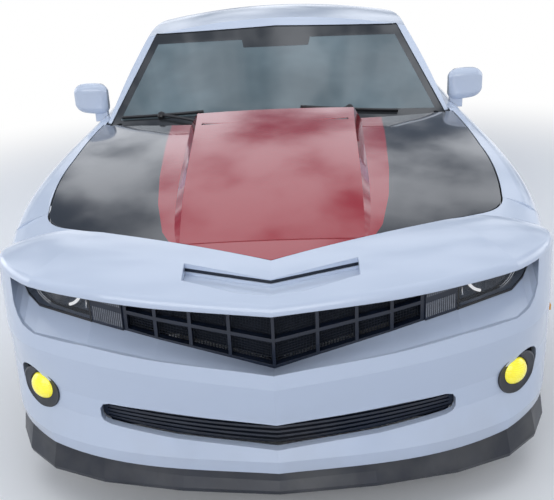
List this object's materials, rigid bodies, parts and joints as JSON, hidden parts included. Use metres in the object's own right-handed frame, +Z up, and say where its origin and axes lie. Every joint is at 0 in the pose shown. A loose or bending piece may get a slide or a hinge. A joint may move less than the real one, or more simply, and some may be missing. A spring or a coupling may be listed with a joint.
{
  "type": "two-door coupe car",
  "caption": "Low two-door coupe with a deep front air dam, a raised bonnet centre, opening doors, bonnet and boot lid, and steered road wheels.",
  "frame": {"origin": "on the ground under the middle of the car's length and width", "axes": "+Y towards the rear, +X towards the car's left side, +Z up"},
  "size_m": [1.972, 4.842, 1.3771],
  "materials": {
    "paint": "gloss white paint",
    "bonnet_paint": "gloss black paint with a red middle panel",
    "black_trim": "satin black",
    "lamp_dark": "smoked clear lamp",
    "lamp_clear": "clear ribbed lamp",
    "lamp_yellow": "yellow fog lens in a black bezel",
    "lamp_red": "clear red lens",
    "glass": "tinted glass",
    "underbody": "satin dark paint",
    "iron": "cast",
    "liner": "matt black",
    "exhaust_steel": "brushed",
    "alloy": "dark silver paint",
    "tyre": "matt rubber",
    "cabin_plastic": "grained black",
    "seat_trim": "dark woven"
  },
  "bodies": {
    "root": {"front_fascia": "paint", "splitter": "black_trim", "upper_grille": "black_trim", "turn_lamps": "lamp_clear", "headlamps": "lamp_dark", "lower_grille": "black_trim", "fog_lamps": "lamp_yellow", "wing_left": "paint", "wing_right": "paint", "quarter_left": "paint", "quarter_right": "paint", "sills": "paint", "roof": "paint", "windscreen": "glass", "rear_window": "glass", "quarter_glass": "glass", "tail_panel": "paint", "rear_bumper": "paint", "tail_lamps": "lamp_red", "floor_pan": "underbody", "boot_tub": "underbody", "firewall": "underbody", "front_frame": "underbody", "engine_block": "iron", "wheel_liners": "liner", "door_posts": "underbody", "lid_hinges": "underbody", "front_suspension": "iron", "rear_axle": "iron", "dashboard": "cabin_plastic", "front_seats": "seat_trim", "rear_seat": "seat_trim", "centre_console": "cabin_plastic", "interior_mirror": "cabin_plastic", "wipers": "black_trim", "exhaust": "exhaust_steel"},
    "door_left": {"door_left": "paint", "door_glass_left": "glass", "mirror_left": "paint"},
    "door_right": {"door_right": "paint", "door_glass_right": "glass", "mirror_right": "paint"},
    "bonnet": {"bonnet": "bonnet_paint"},
    "boot_lid": {"boot_lid": "paint"},
    "knuckle_left": {"knuckle_left": "iron"},
    "knuckle_right": {"knuckle_right": "iron"},
    "wheel_fl": {"wheel_front_left": "alloy", "tyre_front_left": "tyre"},
    "wheel_fr": {"wheel_front_right": "alloy", "tyre_front_right": "tyre"},
    "wheel_rl": {"wheel_rear_left": "alloy", "tyre_rear_left": "tyre"},
    "wheel_rr": {"wheel_rear_right": "alloy", "tyre_rear_right": "tyre"},
    "steering_wheel": {"steering_wheel": "cabin_plastic"}
  },
  "joints": [
    {"name": "door_left_hinge", "type": "hinge", "parent": "root", "child": "door_left", "pos_m": [0.876, -0.755, 0.5], "axis": [0, 0, -1], "range_deg": [0, 62]},
    {"name": "door_right_hinge", "type": "hinge", "parent": "root", "child": "door_right", "pos_m": [-0.876, -0.755, 0.5], "axis": [0, 0, 1], "range_deg": [0, 62]},
    {"name": "bonnet_hinge", "type": "hinge", "parent": "root", "child": "bonnet", "pos_m": [0, -0.8, 0.951], "axis": [-1, 0, 0], "range_deg": [0, 50]},
    {"name": "boot_lid_hinge", "type": "hinge", "parent": "root", "child": "boot_lid", "pos_m": [0, 1.447, 1.036], "axis": [1, 0, 0], "range_deg": [0, 75]},
    {"name": "steer_left", "type": "hinge", "parent": "root", "child": "knuckle_left", "pos_m": [0.721, -1.467, 0.364], "axis": [0, 0, 1], "range_deg": [-33, 33]},
    {"name": "steer_right", "type": "hinge", "parent": "root", "child": "knuckle_right", "pos_m": [-0.721, -1.467, 0.364], "axis": [0, 0, 1], "range_deg": [-33, 33]},
    {"name": "wheel_front_left_spin", "type": "hinge", "parent": "knuckle_left", "child": "wheel_fl", "pos_m": [0.809, -1.467, 0.364], "axis": [1, 0, 0], "continuous": true},
    {"name": "wheel_front_right_spin", "type": "hinge", "parent": "knuckle_right", "child": "wheel_fr", "pos_m": [-0.809, -1.467, 0.364], "axis": [1, 0, 0], "continuous": true},
    {"name": "wheel_rear_left_spin", "type": "hinge", "parent": "root", "child": "wheel_rl", "pos_m": [0.814, 1.385, 0.364], "axis": [1, 0, 0], "continuous": true},
    {"name": "wheel_rear_right_spin", "type": "hinge", "parent": "root", "child": "wheel_rr", "pos_m": [-0.814, 1.385, 0.364], "axis": [1, 0, 0], "continuous": true},
    {"name": "steering_wheel_turn", "type": "hinge", "parent": "root", "child": "steering_wheel", "pos_m": [0.37, -0.262, 0.812], "axis": [0, 0.9135, 0.4067], "range_deg": [-470, 470]}
  ],
  "couplings": [
    {"joint": "steer_right", "follows": "steer_left", "ratio": 1},
    {"joint": "steering_wheel_turn", "follows": "steer_left", "ratio": 14}
  ]
}
